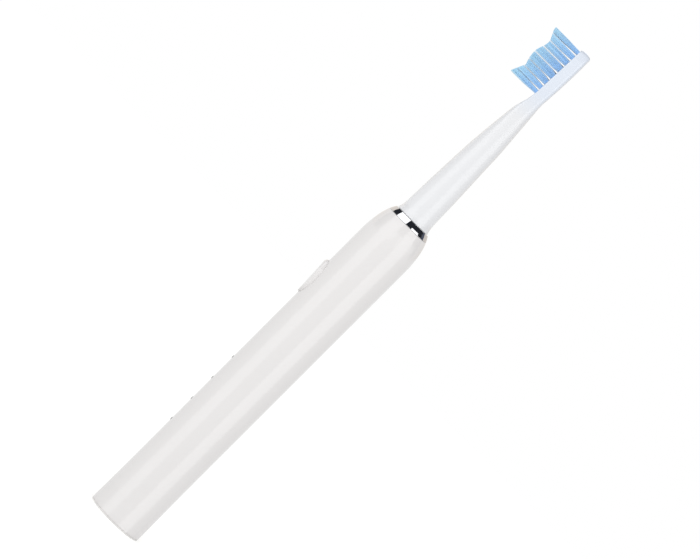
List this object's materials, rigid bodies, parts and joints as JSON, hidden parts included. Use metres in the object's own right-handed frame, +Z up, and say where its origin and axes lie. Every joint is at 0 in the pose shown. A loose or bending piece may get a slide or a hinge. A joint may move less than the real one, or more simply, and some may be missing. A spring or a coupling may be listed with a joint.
{
  "type": "electric toothbrush",
  "caption": "Slim cylindrical sonic toothbrush standing upright, with a chrome neck ring, a wedge-shaped button and a pull-off head with wave-trimmed blue bristles.",
  "frame": {"origin": "on the handle's axis in the plane of the flat foot; the box's bottom centre lies 1 mm forward of it, because the bristles reach out further than the handle's back", "axes": "+Z up the handle to the brush head; -Y is the front, which the button, the charge lights and the bristles face"},
  "size_m": [0.0234, 0.0253, 0.2453],
  "materials": {
    "handle_plastic": "glossy injection-moulded ABS, warm white",
    "head_plastic": "glossy injection-moulded polypropylene, cool white",
    "chrome_plate": "chrome-plated ring, mirror finish",
    "bristle_nylon": "extruded nylon filament, light blue",
    "seal_rubber": "moulded silicone rubber, dark grey",
    "chassis_plastic": "moulded glass-filled nylon, light grey",
    "board_laminate": "glass-epoxy laminate with green solder mask",
    "chip_epoxy": "black moulding compound",
    "light_guide": "tinted clear acrylic",
    "led_package": "white LED package",
    "cell_sleeve": "heat-shrunk PVC sleeve, blue",
    "nickel_strip": "nickel strip, rolled",
    "shaft_steel": "ground stainless steel",
    "core_steel": "stacked silicon-steel laminations",
    "magnet_nickel": "nickel-plated neodymium magnet",
    "copper_winding": "enamelled copper wire",
    "bobbin_plastic": "moulded black nylon",
    "sintered_bronze": "oil-soaked sintered bronze",
    "frame_steel": "pressed zinc-plated steel",
    "switch_plastic": "moulded switch body, black",
    "sleeve_plastic": "moulded acetal sleeve, white"
  },
  "bodies": {
    "handle": {"handle_shell": "handle_plastic", "neck_ring": "chrome_plate", "shaft_seal": "seal_rubber", "bottom_cap": "handle_plastic", "cap_seal": "seal_rubber", "light_guide_1": "light_guide", "light_guide_2": "light_guide", "light_guide_3": "light_guide", "light_guide_4": "light_guide", "charging_bobbin": "bobbin_plastic", "charging_coil": "copper_winding", "chassis": "chassis_plastic", "battery_cell": "cell_sleeve", "lower_battery_tab": "nickel_strip", "upper_battery_tab": "nickel_strip", "circuit_board": "board_laminate", "lower_board_screw": "shaft_steel", "upper_board_screw": "shaft_steel", "motor_controller": "chip_epoxy", "charge_controller": "chip_epoxy", "power_inductor": "chip_epoxy", "charge_led_1": "led_package", "charge_led_2": "led_package", "charge_led_3": "led_package", "charge_led_4": "led_package", "switch_housing": "switch_plastic", "motor_frame": "frame_steel", "motor_end_cap": "bobbin_plastic", "rear_bush_plate": "bobbin_plastic", "front_bush_plate": "frame_steel", "front_bush": "sintered_bronze", "rear_bush": "sintered_bronze", "stator_core": "core_steel", "motor_bobbin": "bobbin_plastic", "motor_winding": "copper_winding", "rear_damper": "seal_rubber", "front_damper": "seal_rubber"},
    "rotor": {"drive_shaft": "shaft_steel", "rotor_yoke": "core_steel", "rotor_magnet_1": "magnet_nickel", "rotor_magnet_2": "magnet_nickel", "rotor_magnet_3": "magnet_nickel", "rotor_magnet_4": "magnet_nickel", "retaining_clip": "shaft_steel"},
    "head": {"head_body": "head_plastic", "bristles": "bristle_nylon", "head_sleeve": "sleeve_plastic", "head_clip": "shaft_steel"},
    "button": {"button_cap": "handle_plastic"},
    "plunger": {"switch_plunger": "switch_plastic"}
  },
  "joints": [
    {"name": "drive_swing", "type": "hinge", "parent": "handle", "child": "rotor", "pos_m": [0, 0, 0], "axis": [0, 0, 1], "range_deg": [-4.5, 4.5], "stiffness_Nm_per_rad": 0.05},
    {"name": "head_pull_off", "type": "slide", "parent": "rotor", "child": "head", "axis": [0, 0, 1], "range_m": [0, 0.022]},
    {"name": "button_press", "type": "slide", "parent": "handle", "child": "button", "axis": [0, 1, 0], "range_m": [0, 0.00035], "stiffness_N_per_m": 4000},
    {"name": "switch_press", "type": "slide", "parent": "handle", "child": "plunger", "axis": [0, 1, 0], "range_m": [0, 0.00035]}
  ],
  "couplings": [
    {"joint": "switch_press", "follows": "button_press", "ratio": 1}
  ]
}
